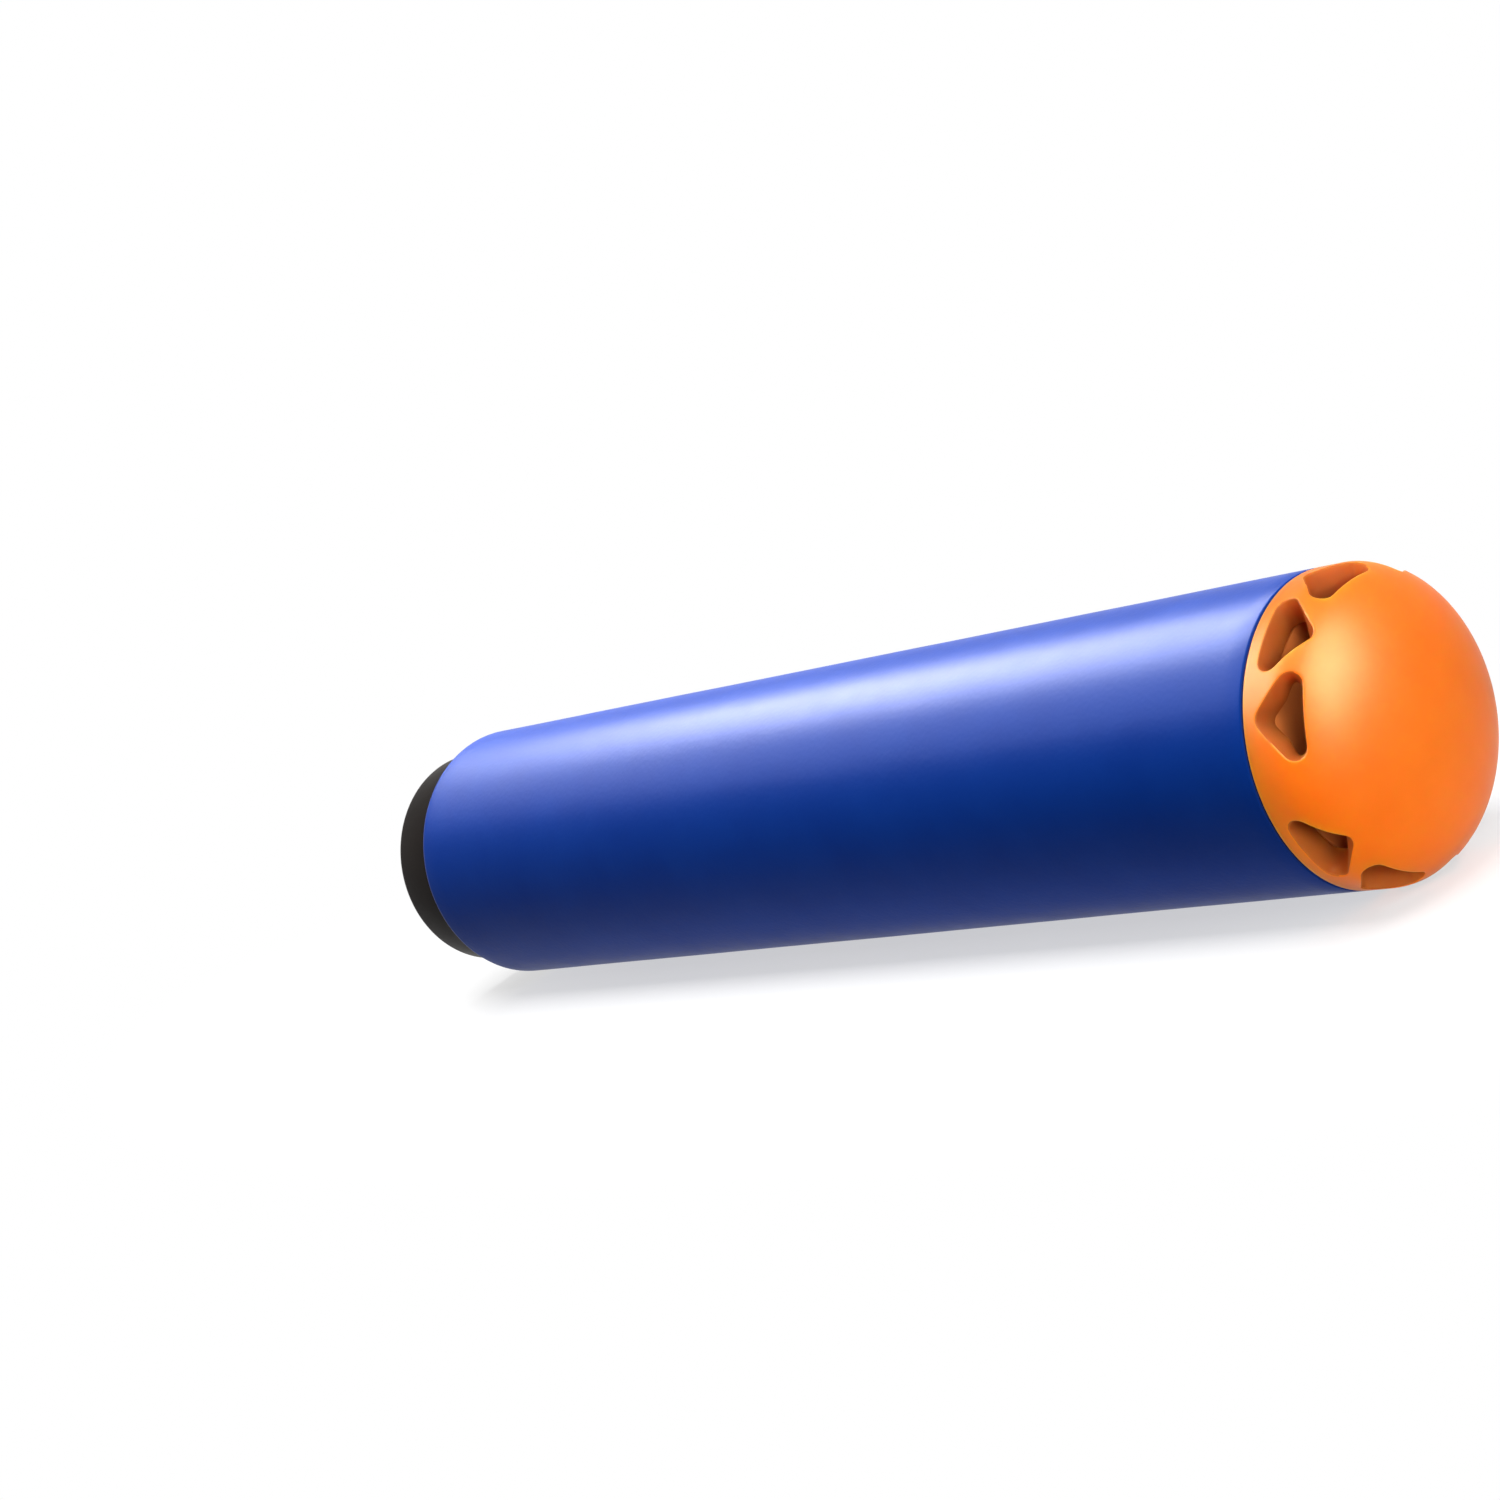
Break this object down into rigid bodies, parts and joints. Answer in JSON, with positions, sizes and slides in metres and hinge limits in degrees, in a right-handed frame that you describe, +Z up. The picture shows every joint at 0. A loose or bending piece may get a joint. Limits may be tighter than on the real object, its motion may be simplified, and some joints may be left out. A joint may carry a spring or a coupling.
{
  "type": "foam dart",
  "caption": "Toy foam dart: a blue foam tube with a hollow orange dome on its nose, vented by triangular windows, and a black bush in its tail that slides on a launching post.",
  "frame": {"origin": "under the middle of the dart, on the plane that it lies on", "axes": "+X along the dart's axis towards its nose, +Z up with the dart lying on its side"},
  "size_m": [0.0644, 0.013, 0.013],
  "materials": {
    "foam": "matte",
    "dome_rubber": "satin",
    "plug_rubber": "matte",
    "collar_plastic": "satin",
    "glue": "satin"
  },
  "bodies": {
    "root": {"tail_collar": "collar_plastic", "tail_glue": "glue", "foam_body": "foam", "nose_glue": "glue", "nose_plug": "plug_rubber", "nose_dome": "dome_rubber"}
  },
  "joints": []
}
